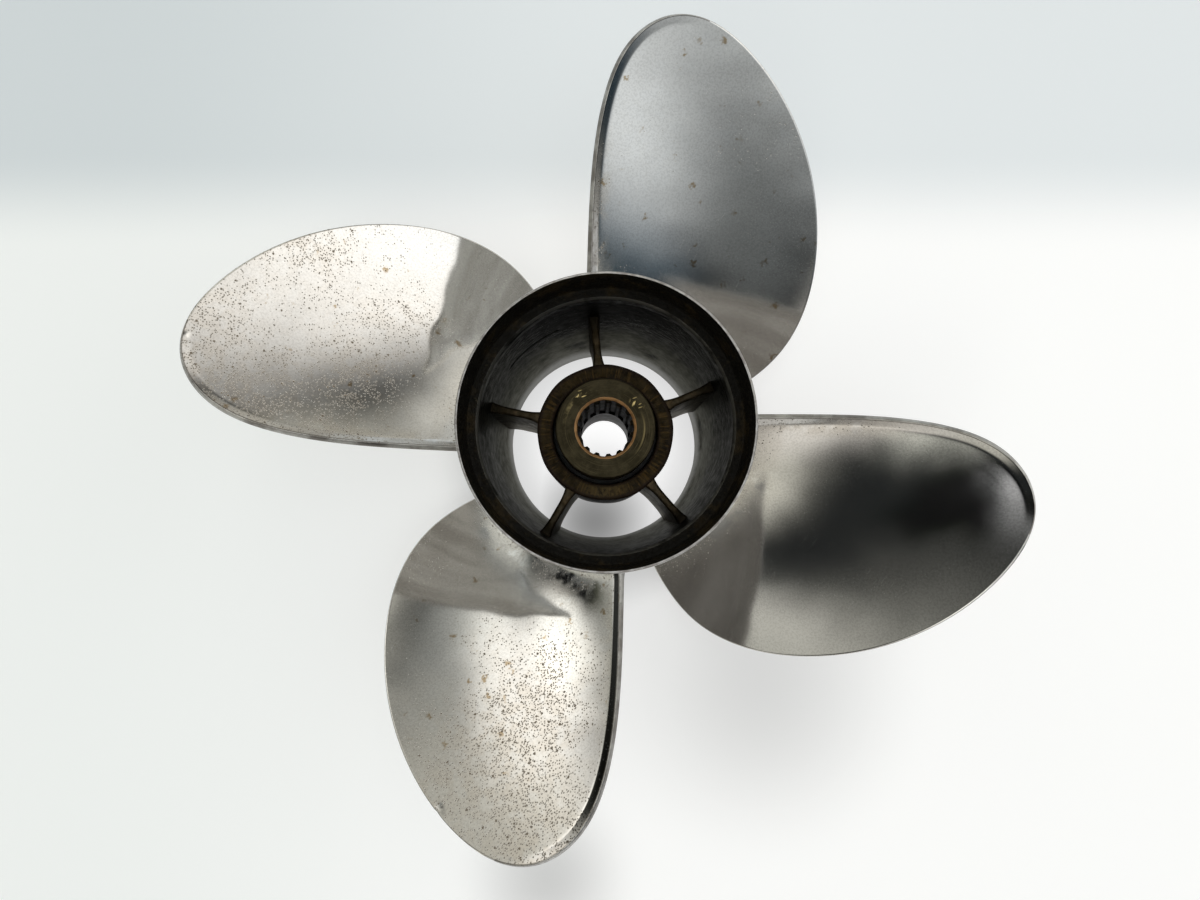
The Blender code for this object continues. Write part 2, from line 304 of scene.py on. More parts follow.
def wall_inside(height):
    """Inner radius of the barrel at a height."""
    heights = [MOUTH_TOP, THROAT_BOTTOM, WALL_BOTTOM, RECESS_FLOOR]
    return float(np.interp(height, heights, [MOUTH_RADIUS, THROAT_RADIUS, WALL_RADIUS, LEDGE_RADIUS]))


def groove(turns, heights, start, end, middle, half_width, depth):
    """Depth of a round-ended groove that runs along the wall from one angle to another."""
    along = (turns - (start + end) / 2 + math.pi) % (2 * math.pi) - math.pi
    beyond = np.maximum(np.abs(along) - (end - start) / 2, 0) * WALL_RADIUS
    away = np.hypot(beyond, heights - middle) / half_width
    return depth * np.clip(1.4 * (1 - away ** 2), 0, 1)


DENT_COUNT = 70
rim_dents = random.Random(4)
DENTS = [
    (rim_dents.uniform(0, 2 * math.pi), rim_dents.uniform(0.006, 0.025), rim_dents.uniform(0.0001, 0.00035))
    for _ in range(DENT_COUNT)
]
DENTED_HEIGHT = 0.0012
WAVINESS = 0.00018
GROOVE_ENDS = (math.radians(116), math.radians(143))
ISLAND_ENDS = (math.radians(117), math.radians(142))
GROOVE_HEIGHT = 0.0780
GROOVE_ROWS = np.arange(0.0755, 0.0806, 0.00035)
SLOT_ENDS = (math.radians(-105), math.radians(-90))
SLOT_HEIGHT = 0.1080
SLOT_ROWS = np.arange(0.1063, 0.1098, 0.00035)


def worn_barrel(radii, heights, turns):
    """Small knocks in the thin rim, and the waviness, the groove and the slot of the cast wall inside."""
    knock = np.zeros_like(radii)
    for angle, width, depth in DENTS:
        away = np.angle(np.exp(1j * (turns - angle)))
        knock = np.maximum(knock, depth * np.exp(-(away / width) ** 2))
    near_rim = np.clip((heights - (HUB_LENGTH - DENTED_HEIGHT)) / DENTED_HEIGHT, 0, 1)
    heights = heights - knock * near_rim * (radii > RECESS_RADIUS)
    inside = (radii < RECESS_RADIUS) & (heights < RECESS_FLOOR - 0.003) & (heights > 0.004)
    wave = WAVINESS * (np.sin(3 * turns + 90 * heights) + np.sin(7 * turns - 60 * heights + 1.0))
    cut = groove(turns, heights, *GROOVE_ENDS, GROOVE_HEIGHT, half_width=0.0016, depth=0.0012)
    island = groove(turns, heights, *ISLAND_ENDS, GROOVE_HEIGHT, half_width=0.0006, depth=0.0009)
    slot = groove(turns, heights, *SLOT_ENDS, SLOT_HEIGHT, half_width=0.0010, depth=0.0012)
    return radii + (wave + cut - island + slot) * inside, heights


# Each corner of a turned profile is a radius, a height and the size of its rounding
barrel_corners = [(RIM_RADIUS - 0.0004, HUB_LENGTH, 0.0002), (RIM_RADIUS, HUB_LENGTH - RIM_ROUND, 0.0004)]
for i in range(1, FLARE_STEPS + 1):
    drop = (FLARE_LENGTH - RIM_ROUND) * i / FLARE_STEPS
    barrel_corners.append((flare(i / FLARE_STEPS), HUB_LENGTH - RIM_ROUND - drop, 0.0))
barrel_corners += [
    (FRONT_RADIUS, 0.0016, 0.0010),
    (FRONT_RADIUS - 0.0016, 0.0, 0.0005),
    (MOUTH_RADIUS + 0.0008, 0.0, 0.0004),
    (MOUTH_RADIUS, 0.0016, 0.0006),
    (MOUTH_RADIUS, MOUTH_TOP, 0.0020),
    (THROAT_RADIUS, THROAT_BOTTOM, 0.0030),
    (WALL_RADIUS, WALL_BOTTOM, 0.0100),
]
for height in [*GROOVE_ROWS, *SLOT_ROWS]:
    barrel_corners.append((wall_inside(height), float(height), 0.0))
barrel_corners += [
    (LEDGE_RADIUS - 0.0010, RECESS_FLOOR - 0.0018, 0.0005),
    (LEDGE_RADIUS, RECESS_FLOOR, 0.0003),
    (RECESS_RADIUS, RECESS_FLOOR, 0.0008),
    (RIM_RADIUS - RIM_WALL, HUB_LENGTH, 0.0002),
]

POLISHED = (0.66, 0.65, 0.63)
STAINED = (0.24, 0.19, 0.17)
BURNT = (0.30, 0.15, 0.05)
CHIPPED = (0.10, 0.085, 0.075)
RIM_DARK = (0.20, 0.18, 0.17)
RIM_PALE = (0.40, 0.39, 0.38)
outside_steel = Finish("polished_barrel", (0.62, 0.61, 0.59), roughness=0.20, metallic=1.0)
height = outside_steel.measure()[2]
turned_lines = outside_steel.rolled(14.0, outside_steel.times(height, 4000.0))
rings = outside_steel.cloud(1.0, 3.0, 0.7, where=turned_lines)
chips = outside_steel.spots(0.0026, 0.0009, 0.35)
stain = outside_steel.band(outside_steel.cloud(55.0, 4.0, 0.65), 0.56, 0.68)
burn = outside_steel.times(outside_steel.near((-0.0428, 0.0440, HUB_LENGTH), 0.011), 0.9)
colour = outside_steel.blend(outside_steel.times(stain, 0.45), POLISHED, STAINED)
colour = outside_steel.blend(burn, colour, BURNT)
colour = outside_steel.blend(outside_steel.times(chips, 0.7), colour, CHIPPED)
rim_face = outside_steel.band(height, HUB_LENGTH - RIM_ROUND, HUB_LENGTH - 0.0002)
nibbled = outside_steel.band(outside_steel.cloud(300.0, 4.0, 0.7), 0.30, 0.66)
rim_colour = outside_steel.blend(nibbled, RIM_DARK, RIM_PALE)
colour = outside_steel.blend(rim_face, colour, rim_colour)
turned_rough = outside_steel.band(rings, 0.3, 0.7, 0.10, 0.26)
outside_steel.set(
    base_color=colour,
    roughness=outside_steel.maths("ADD", turned_rough, outside_steel.times(rim_face, 0.2)),
    normal=outside_steel.bump(rings, 0.00006),
)

EXHAUST_BROWN_AND_SHADE = (0.0075, 0.0070, 0.0050)
GRIME_BROWN = (0.0065, 0.0050, 0.0030)
SCRUBBED_GREY = (0.080, 0.078, 0.070)
PAINTED_WALL_SHADE = (0.0040, 0.0036, 0.0024)
BARE_CASTING = (0.13, 0.127, 0.115)
TURNED_MOUTH = (0.46, 0.46, 0.45)
BROWN_SHINE = (0.28, 0.28, 0.25)
PAINTED_SHADE_SHINE = (0.03, 0.03, 0.02)
inside_steel = Finish("browned_wall", (0.07, 0.065, 0.055), roughness=0.42, metallic=0.8, gloss=0.2)
height = inside_steel.measure()[2]
run_down = inside_steel.rolled(5.0, inside_steel.times(height, 11.0))
streaks = inside_steel.cloud(1.0, 4.0, 0.6, where=run_down)
casting = inside_steel.cloud(260.0, 3.0, 0.65)
uneven = inside_steel.times(inside_steel.maths("SUBTRACT", streaks, 0.5), 0.07)
level = inside_steel.maths("ADD", height, uneven)
# Painted light and shade over the exhaust brown: light towards the front end, where the floor lights the
# wall, dark higher up
colour = inside_steel.blend(inside_steel.band(level, 0.012, 0.095), CAST_GREY_FLOOR_LIT, EXHAUST_BROWN_AND_SHADE)
grime = inside_steel.times(inside_steel.band(inside_steel.cloud(34.0, 4.0, 0.7), 0.50, 0.70), 0.75)
colour = inside_steel.blend(grime, colour, GRIME_BROWN)
scrub = inside_steel.times(inside_steel.band(streaks, 0.52, 0.70), 0.35)
colour = inside_steel.blend(scrub, colour, SCRUBBED_GREY)
# Painted shade: a dark patch on the wall's +Y side, which also dims the tint of its reflections
wall_shade = inside_steel.times(inside_steel.near((-0.012, 0.054, 0.105), 0.052), 0.75)
colour = inside_steel.blend(wall_shade, colour, PAINTED_WALL_SHADE)
bare = inside_steel.times(
    inside_steel.band(height, RECESS_FLOOR - 0.0024, RECESS_FLOOR - 0.0014),
    inside_steel.band(inside_steel.cloud(90.0, 4.0, 0.6), 0.36, 0.50, 0.25, 1.0),
)
colour = inside_steel.blend(bare, colour, BARE_CASTING)
mouth = inside_steel.band(height, MOUTH_TOP + 0.010, MOUTH_TOP)
colour = inside_steel.blend(inside_steel.times(mouth, 0.7), colour, TURNED_MOUTH)
inside_steel.set(
    base_color=colour,
    roughness=inside_steel.band(casting, 0.3, 0.7, 0.34, 0.52),
    specular_tint=inside_steel.blend(wall_shade, BROWN_SHINE, PAINTED_SHADE_SHINE),
    normal=inside_steel.bump(casting, 0.00024),
)

DRY_SOOT = (0.019, 0.013, 0.005)
SOOT_FLAKE = (0.036, 0.031, 0.020)
soot = Finish("sooty_recess", SOOT, roughness=0.7, metallic=0.0, gloss=0.12)
flakes = soot.cloud(420.0, 4.0, 0.75)
patches = soot.cloud(60.0, 4.0, 0.7)
colour = soot.blend(soot.band(patches, 0.50, 0.66), SOOT, DRY_SOOT)
colour = soot.blend(soot.times(soot.band(flakes, 0.58, 0.72), 0.8), colour, SOOT_FLAKE)
soot.set(
    base_color=colour,
    roughness=soot.band(flakes, 0.35, 0.65, 0.42, 0.85),
    normal=soot.bump(flakes, 0.0009),
)

barrel_mesh = turned(
    "outer_barrel_cast", barrel_corners, steps=BARREL_STEPS, spacing=0.0016, shape=worn_barrel,
)
barrel_finishes = [outside_steel, inside_steel, soot]
in_place("outer_barrel_cast", barrel_mesh, ["outer_barrel"], barrel_finishes)
RECESS_SLOPE = 0.078
for face in barrel_mesh.polygons:
    centre = face.center
    radius = math.hypot(centre.x, centre.y)
    recess_wall = RECESS_RADIUS + (centre.z - RECESS_FLOOR) * RECESS_SLOPE + 0.0002
    if centre.z > RECESS_FLOOR - 0.0001 and LEDGE_RADIUS < radius < recess_wall:
        face.material_index = barrel_finishes.index(soot)
    elif radius < LEDGE_RADIUS + 0.0001:
        face.material_index = barrel_finishes.index(inside_steel)


# Ribs: five webs cast between the two barrels. They carry the inner barrel and flare out where they
# join the walls. Rust has browned the edges that face aft, and the exhaust has darkened the sides.
# Painted light makes them lighter towards the front end, and painted shade darkens their outer ends.
RIB_COUNT = 5
RIB_THICKNESS = 0.0036
RIB_TOP = HUB_LENGTH - 0.054
RIB_BOTTOM = 0.010
RIB_ROUNDING = 0.0013
RIB_LIFT_REACH = 0.022
RIB_FLARE = 0.0011
RIB_FLARE_REACH = 0.0080
RIB_POINTS = 24
INTO_INNER = 0.0006
INTO_OUTER = 0.0004
FIRST_RIB_ANGLE = math.radians(23.5)
INNER_TOP = HUB_LENGTH - 0.050
INNER_BOTTOM = 0.005
INNER_RADIUS = 0.0315
INNER_FRONT_RADIUS = 0.0320


def inner_outside(height):
    """Outer radius of the inner barrel at a height."""
    return float(np.interp(height, [INNER_BOTTOM, INNER_TOP], [INNER_FRONT_RADIUS, INNER_RADIUS]))


def rib_ring(height, inset):
    """Outline of a rib at a height, in the plane across the shaft, shrunk by an inset at its edges."""
    start = inner_outside(height) - INTO_INNER
    end = wall_inside(height) + INTO_OUTER
    side = []
    for k in range(RIB_POINTS + 1):
        along = start + (end - start) * (1 - math.cos(math.pi * k / RIB_POINTS)) / 2
        to_wall = min(along - start, end - along)
        flare_out = RIB_FLARE * max(0.0, 1 - to_wall / RIB_FLARE_REACH) ** 2
        side.append((along, RIB_THICKNESS / 2 - inset + flare_out))
    return side + [(along, -half) for along, half in reversed(side)]


def rib_mesh(name, angle):
    """A rib with round edges, its aft edge rising towards the face of the inner barrel."""
    rings = []
    steps = np.linspace(0, math.pi / 2, 7)
    bottom = RIB_BOTTOM + RIB_ROUNDING * (1 - np.cos(steps))
    middle = np.linspace(RIB_BOTTOM + RIB_ROUNDING, RIB_TOP - RIB_ROUNDING, 34)[1:-1]
    top = RIB_TOP - RIB_ROUNDING * (1 - np.cos(steps[::-1]))
    for height in [*bottom, *middle, *top]:
        near_edge = min(max(1 - min(height - RIB_BOTTOM, RIB_TOP - height) / RIB_ROUNDING, 0.0), 1.0)
        inset = RIB_ROUNDING * (1 - math.sqrt(1 - near_edge ** 2))
        ring = []
        for along, across in rib_ring(height, inset):
            rise = (INNER_TOP - 0.001 - RIB_TOP) * max(0.0, 1 - (along - INNER_RADIUS) / RIB_LIFT_REACH)
            lift = rise * (height - RIB_BOTTOM) / (RIB_TOP - RIB_BOTTOM)
            ring.append((
                along * math.cos(angle) - across * math.sin(angle),
                along * math.sin(angle) + across * math.cos(angle),
                height + lift,
            ))
        rings.append(ring)
    mesh = closed_grid(name, np.array(rings), around=False)
    finish_mesh(mesh, sharp_angle=50)
    return mesh


RIB_DARK = (0.022, 0.018, 0.013)
RIB_GREY = (0.13, 0.12, 0.10)
RIB_FOOT_LIT = (0.26, 0.25, 0.235)
RIB_RUST = (0.040, 0.028, 0.013)
RIB_WORN = (0.12, 0.085, 0.048)
RIB_END_SHADE = (0.012, 0.010, 0.007)
RIB_SHINE = (0.40, 0.38, 0.33)
rib_steel = Finish("rusty_rib", (0.10, 0.075, 0.05), roughness=0.45, metallic=0.75, gloss=0.25)
radius_out, _, height = rib_steel.measure()
grain = rib_steel.cloud(150.0, 4.0, 0.7)
streaks = rib_steel.cloud(1.0, 4.0, 0.6, where=rib_steel.stretched((0.0030, 0.0030, 0.0200)))
colour = rib_steel.blend(rib_steel.band(streaks, 0.35, 0.65), RIB_DARK, RIB_GREY)
# Painted light: the ribs are painted lighter towards the front end, where the floor lights them from below
lit_low_part = rib_steel.band(height, 0.060, 0.015)
colour = rib_steel.blend(rib_steel.times(lit_low_part, 0.8), colour, RIB_FOOT_LIT)
edge = rib_steel.band(height, RIB_TOP - 0.0030, RIB_TOP - 0.0004)
colour = rib_steel.blend(rib_steel.times(edge, 0.8), colour, RIB_RUST)
worn = rib_steel.times(edge, rib_steel.band(grain, 0.50, 0.64))
colour = rib_steel.blend(rib_steel.times(worn, 0.55), colour, RIB_WORN)
# Painted shade: the ribs darken at their outer ends, where they meet the wall
shaded_end = rib_steel.band(radius_out, 0.046, 0.053)
colour = rib_steel.blend(rib_steel.times(shaded_end, 0.85), colour, RIB_END_SHADE)
rib_steel.set(
    base_color=colour,
    specular_tint=RIB_SHINE,
    roughness=rib_steel.band(grain, 0.3, 0.7, 0.36, 0.6),
    normal=rib_steel.bump(grain, 0.0004),
)
for i in range(RIB_COUNT):
    name = f"rib_{i + 1}"
    mesh = rib_mesh(name + "_web", FIRST_RIB_ANGLE + i * 2 * math.pi / RIB_COUNT)
    in_place(name + "_web", mesh, [name], [rib_steel])


# Inner barrel: the tube in the middle that takes the rubber bush, cast with the ribs. Its aft face is
# rusty, with fine streaks from the turning tool that faced it.
INNER_BORE = 0.0243
DARK_RUST = (0.0105, 0.0065, 0.0018)
BROWN_RUST = (0.038, 0.0245, 0.0075)
STREAK_RUST = (0.080, 0.047, 0.014)
PALE_RUST = (0.15, 0.105, 0.045)
RUSTY_EDGE = (0.020, 0.012, 0.008)
SHADED_SIDE = (0.030, 0.022, 0.016)
FLOOR_LIT_SIDE = (0.20, 0.19, 0.175)

inner_steel = Finish("rusty_face", (0.12, 0.06, 0.025), roughness=0.55, metallic=0.20, gloss=0.12)
radius, _, height = inner_steel.measure()
finely_turned = inner_steel.rolled(26.0, inner_steel.times(radius, 90.0))
fine_streaks = inner_steel.cloud(1.0, 3.0, 0.6, where=finely_turned)
blots = inner_steel.cloud(1.0, 4.0, 0.65, where=inner_steel.rolled(4.5, inner_steel.times(radius, 160.0)))
grain = inner_steel.cloud(520.0, 3.0, 0.7)
colour = inner_steel.blend(inner_steel.band(blots, 0.36, 0.64), DARK_RUST, BROWN_RUST)
streaked = inner_steel.times(inner_steel.band(fine_streaks, 0.50, 0.66), 0.8)
colour = inner_steel.blend(streaked, colour, STREAK_RUST)
pale = inner_steel.times(
    inner_steel.near((0.0, -0.0300, INNER_TOP), 0.020),
    inner_steel.band(grain, 0.35, 0.60),
)
colour = inner_steel.blend(inner_steel.times(pale, 0.7), colour, PALE_RUST)
rim = inner_steel.maths(
    "MAXIMUM",
    inner_steel.band(radius, INNER_RADIUS - 0.0024, INNER_RADIUS - 0.0010),
    inner_steel.band(radius, INNER_BORE + 0.0018, INNER_BORE + 0.0006),
)
colour = inner_steel.blend(inner_steel.times(rim, 0.85), colour, RUSTY_EDGE)
# Painted light and shade: the outer side is painted dark near its top and lighter towards the front end,
# lit from below
side = inner_steel.band(height, INNER_TOP - 0.0016, INNER_TOP - 0.0034)
side_colour = inner_steel.blend(inner_steel.band(height, 0.070, 0.020), SHADED_SIDE, FLOOR_LIT_SIDE)
inner_steel.set(
    base_color=inner_steel.blend(side, colour, side_colour),
    roughness=inner_steel.band(grain, 0.35, 0.65, 0.42, 0.72),
    normal=inner_steel.bump(inner_steel.maths("ADD", grain, inner_steel.times(fine_streaks, 1.5)), 0.00035),
)


def lumpy(radii, heights, turns):
    """The slight unevenness of the cast tube."""
    wave = 0.00012 * (np.sin(5 * turns + 1.3) + np.sin(9 * turns + 70 * heights))
    return radii + wave * (radii > INNER_BORE + 0.002), heights + wave * (heights > INNER_TOP - 0.002)


inner_mesh = turned("inner_barrel_cast", [
    (INNER_RADIUS, INNER_TOP, 0.0014),
    (INNER_FRONT_RADIUS, INNER_BOTTOM, 0.0010),
    (INNER_BORE, INNER_BOTTOM, 0.0008),
    (INNER_BORE, INNER_TOP, 0.0010),
], steps=240, spacing=0.0015, shape=lumpy)
in_place("inner_barrel_cast", inner_mesh, ["inner_barrel"], [inner_steel])


# Blades: four cast blades, polished all over, each with a cupped trailing edge that is ground to a land.
# The root runs into the barrel in a fillet. Salt water has pitted the driving faces, the worst on the
# blades at the left and the bottom, and left small rust stains. The leading edges are nicked.
BLADE_COUNT = 4
PITCH = 16.3 * 0.0254
PITCH_EASE = 0.008
ROOT_Z = HUB_LENGTH - 0.0687
ROOT_ANGLE = math.radians(-5.2)
RAKE_SLOPE = 0.34
RAKE_CURVE = 0.81
TIP_RADIUS = 0.188
ROOT_THICKNESS = 0.0095
TIP_THICKNESS = 0.0030
THICKNESS_FALL = 1.5
TRAILING_THICKNESS = 0.0026
LEADING_THICKNESS = 0.0012
CUP_WIDTH = 0.0036
CUP_SLOPE = 0.36
CUP_BEND = 0.0006
CUP_FADE = 0.055
TRAILING_NOSE = 0.00035
NOSE_GROWTH = 0.0005
LAND_WIDTH = 0.00030
ROOT_FILLET = 0.009
ROOT_BITE = 0.0008
EDGE_FILLET = 0.35
FILLET_FADE = 0.12
FAN_RADIUS = 0.150
BLADE_OUTLINE = [
    (-5, 21), (-7, 48), (-6.5, 85), (-5, 127), (3.5, 164), (24, 183.5), (50, 185),
    (82, 162), (104, 126), (110, 82), (98, 46.5), (68, 26), (32, 14), (-6, 5),
]
TIP_PLACE = 0.44
HALF_CHORD_STEPS = 54
NOSE_STEPS = 8
NOSE_WIDTH = 0.0008
OUTLINE_SAMPLES = 4000
EDGE_SAMPLES = 2400


def outline_points(shares):
    """Radii and angles of the blade's outline at shares of its way, on a uniform cubic B-spline."""
    control = np.array(BLADE_OUTLINE, float) / 1000
    spans = len(control) - 3
    along = np.clip(shares, 0, 1) * spans
    first = np.minimum(along.astype(int), spans - 1)
    t = along - first
    weights = [
        (1 - t) ** 3 / 6,
        (3 * t ** 3 - 6 * t ** 2 + 4) / 6,
        (-3 * t ** 3 + 3 * t ** 2 + 3 * t + 1) / 6,
        t ** 3 / 6,
    ]
    point = sum(w[:, None] * control[first + k] for k, w in enumerate(weights))
    return np.hypot(point[:, 0], point[:, 1]), np.arctan2(point[:, 1], point[:, 0]) - math.pi / 2


def pitch_face(radius, angle):
    """Points of the driving face, a helix that rakes aft, its pitch easing off towards the leading edge."""
    span = radius - RIM_RADIUS
    turn = angle - ROOT_ANGLE
    rake = RAKE_SLOPE * span + RAKE_CURVE * span * span
    height = ROOT_Z + rake + PITCH / (2 * math.pi) * turn + PITCH_EASE * turn * turn
    return np.stack([-radius * np.sin(angle), radius * np.cos(angle), height], axis=-1)


def unit(vectors):
    return vectors / np.maximum(np.linalg.norm(vectors, axis=-1, keepdims=True), 1e-12)


def gap_to(edge, points):
    """Distance of each point from a line of samples, and how far along the line its nearest place is."""
    along = unit(np.gradient(edge, axis=0))
    length = np.concatenate([[0], np.cumsum(np.linalg.norm(np.diff(edge, axis=0), axis=1))])
    gaps = np.empty(points.shape[:-1])
    places = np.empty(points.shape[:-1])
    for i, row in enumerate(points):
        away = row[:, None] - edge[None]
        nearest = (away ** 2).sum(axis=2).argmin(axis=1)
        step = away[np.arange(len(row)), nearest]
        slide = (step * along[nearest]).sum(axis=1, keepdims=True)
        at_end = ((nearest == 0) | (nearest == len(edge) - 1))[:, None]
        gaps[i] = np.linalg.norm(np.where(at_end, step, step - slide * along[nearest]), axis=1)
        places[i] = length[nearest] + np.where(at_end, 0, slide)[:, 0]
    return gaps, places, length[-1]


def section_ends():
    """Shares of the outline where each section starts and ends, from the root out to the tip.

    Sections up to FAN_RADIUS start and end at one radius. Beyond it they close in on the tip.
    """
    shares = np.linspace(0, 1, OUTLINE_SAMPLES + 1)
    radii = outline_points(shares)[0]
    tip = int(TIP_PLACE * OUTLINE_SAMPLES)
    fillet = BARREL_RADIUS + ROOT_FILLET * (1 - np.sin(np.linspace(math.pi / 2, 0, 13)))
    fillet = np.concatenate([[BARREL_RADIUS - ROOT_BITE] * 2, fillet[1:]])
    inner = np.concatenate([fillet, np.linspace(BARREL_RADIUS + ROOT_FILLET, FAN_RADIUS, 84)[1:]])
    trailing = np.interp(inner, radii[:tip], shares[:tip])
    leading = np.interp(inner, radii[tip:][::-1], shares[tip:][::-1])
    left = 1 - np.linspace(0, 1, 61)[1:-1]
    trailing = np.concatenate([trailing, TIP_PLACE - (TIP_PLACE - trailing[-1]) * left])
    leading = np.concatenate([leading, TIP_PLACE + (leading[-1] - TIP_PLACE) * left])
    return trailing, leading


def chord_places(chord, nose):
    """Places across a section, as distances from its trailing edge, closest together at both edges."""
    nose = min(nose, chord * 0.2)
    near = nose * (1 - np.cos(np.linspace(0, math.pi / 2, NOSE_STEPS)))
    grow = np.linspace(0, 1, HALF_CHORD_STEPS + 1)[1:] ** 1.6
    half = np.concatenate([near, nose + (chord / 2 - nose) * grow])
    return np.concatenate([half, chord - half[-2::-1]])


def blade_sides():
    """Grids of points of the driving face and of the back, from the root to the tip, and their measures."""
    starts, ends = section_ends()
    start_radius, start_angle = outline_points(starts)
    end_radius, end_angle = outline_points(ends)
    across = pitch_face(end_radius, end_angle) - pitch_face(start_radius, start_angle)
    chords = np.linalg.norm(across, axis=1)
    shares = np.array([chord_places(chord, NOSE_WIDTH) / chord for chord in chords])
    radius = start_radius[:, None] + (end_radius - start_radius)[:, None] * shares
    angle = start_angle[:, None] + (end_angle - start_angle)[:, None] * shares

    edge = pitch_face(*outline_points(np.linspace(starts[0], ends[0], EDGE_SAMPLES)))
    trailing_count = int(EDGE_SAMPLES * (TIP_PLACE - starts[0]) / (ends[0] - starts[0]))
    plain = pitch_face(radius, angle)
    from_edge = gap_to(edge, plain)[0]
    from_trailing, place, trailing_length = gap_to(edge[:trailing_count], plain)
    from_edge[:, [0, -1]] = 0.0

    # The cup: the last few millimetres before the trailing edge are bent up, less and less near the tip
    face = plain.copy()
    inside_cup = CUP_WIDTH - from_trailing
    bent = (np.sqrt(inside_cup ** 2 + CUP_BEND ** 2) + inside_cup) / 2
    left = np.clip((trailing_length - place) / CUP_FADE, 0, 1)
    face[..., 2] += CUP_SLOPE * bent * left * left * (3 - 2 * left) * (from_trailing < 3 * CUP_WIDTH)
    normal = unit(np.cross(np.gradient(face, axis=1), np.gradient(face, axis=0)))
    normal *= np.sign(normal[..., 2:3])

    outboard = np.clip((radius - RIM_RADIUS) / (TIP_RADIUS - RIM_RADIUS), 0, 1)
    middle = TIP_THICKNESS + (ROOT_THICKNESS - TIP_THICKNESS) * (1 - outboard) ** THICKNESS_FALL
    rim = TRAILING_THICKNESS + (LEADING_THICKNESS - TRAILING_THICKNESS) * shares
    thickness = rim + (np.maximum(middle, rim) - rim) * 4 * shares * (1 - shares)
    squareness = 4 - 2 * shares
    nose = TRAILING_NOSE + NOSE_GROWTH * shares
    inward = 1 - np.clip(1 - from_edge / nose, 0, 1) ** squareness
    half = normal * (thickness * inward ** (1 / squareness))[..., None] / 2
    middle_point = face - normal * thickness[..., None] / 2
    land = (from_trailing < LAND_WIDTH) * (1 - shares)
    return middle_point + half, middle_point - half, radius, shares, from_trailing, land


def both_sides(face, back):
    """Rings round the blade, along its face and home along its back."""
    return np.concatenate([face, back[:, -2:0:-1]], axis=1)


def blade_mesh():
    """One blade with its root fillet, and what its finish needs to know of each point."""
    face, back, radius, shares, from_trailing, land = blade_sides()
    rings = both_sides(face, back)
    ring_radius = both_sides(radius, radius)

    # The fillet: each of the first sections grows outward in the barrel's own surface
    angle = np.unwrap(np.arctan2(rings[..., 1], rings[..., 0]), axis=1)
    rolled = np.stack([ring_radius * angle, rings[..., 2]], axis=-1)
    step = np.roll(rolled, -1, axis=1) - np.roll(rolled, 1, axis=1)
    outward = unit(np.stack([step[..., 1], -step[..., 0]], axis=-1))
    centre = rolled.mean(axis=1, keepdims=True)
    outward *= np.sign(((rolled - centre) * outward).sum(axis=(1, 2)))[:, None, None]
    above = np.clip((ring_radius - BARREL_RADIUS) / ROOT_FILLET, 0, 1)
    from_end = np.minimum(both_sides(shares, shares), 1 - both_sides(shares, shares))
    fade = np.clip(EDGE_FILLET + from_end / FILLET_FADE, 0, 1)
    grow = ROOT_FILLET * fade * (1 - np.sqrt(np.clip(1 - (1 - above) ** 2, 0, 1)))
    rolled = rolled + outward * grow[..., None]
    turn = rolled[..., 0] / ring_radius
    flat = np.hypot(rings[..., 0], rings[..., 1])
    grown = np.stack([flat * np.cos(turn), flat * np.sin(turn), rolled[..., 1]], axis=-1)
    rings = np.where((above < 1)[..., None], grown, rings)
    rings[..., 2] = np.maximum(rings[..., 2], 0.0004)

    # The root's end follows the curve of the barrel: both sides of the first section meet halfway
    other_side = -np.arange(rings.shape[1])
    rings[0] = (rings[1] + rings[1][other_side]) / 2

    mesh = closed_grid("blade", rings, around=False)
    marks = {
        "trailing_gap": (from_trailing, from_trailing),
        "land": (land, land),
        "back": (np.zeros_like(radius), np.ones_like(radius)),
    }
    for name, (on_face, on_back) in marks.items():
        layer = mesh.attributes.new(name, "FLOAT", "POINT")
        layer.data.foreach_set("value", both_sides(on_face, on_back).reshape(-1).astype(np.float32))
    return mesh


def nick(mesh, places):
    """Small dents knocked into the edge, each given by where it is, how wide and how deep."""
    points = np.empty(len(mesh.vertices) * 3)
    mesh.vertices.foreach_get("co", points)
    points = points.reshape(-1, 3)
    middle = points.mean(axis=0)
    for x, y, width, depth in places:
        away = np.hypot(points[:, 0] - x, points[:, 1] - y)
        push = unit(middle - np.array([x, y, middle[2]]))
        points += (depth * np.exp(-(away / width) ** 2))[:, None] * push
    mesh.vertices.foreach_set("co", points.reshape(-1))


BRIGHT_STEEL = (0.72, 0.715, 0.705)
FILMED_STEEL = (0.50, 0.485, 0.465)
ETCHED_STEEL = (0.58, 0.55, 0.50)
PITTED_STEEL = (0.52, 0.42, 0.30)
GRAINED_STEEL = (0.25, 0.24, 0.23)
SCRATCHED_STEEL = (0.80, 0.79, 0.77)
FINE_PIT = (0.14, 0.100, 0.063)
COARSE_PIT = (0.12, 0.080, 0.040)
RUST_STAIN = (0.27, 0.170, 0.052)
CUP_DARK_REFLECTION = (0.022, 0.022, 0.020)
SHADED_BACK_PALE = (0.30, 0.285, 0.26)
SHADED_BACK_BROWN = (0.20, 0.185, 0.165)
LAND_DARK = (0.22, 0.205, 0.19)
LAND_PALE = (0.46, 0.45, 0.43)
LAND_BORDER = (0.08, 0.07, 0.06)


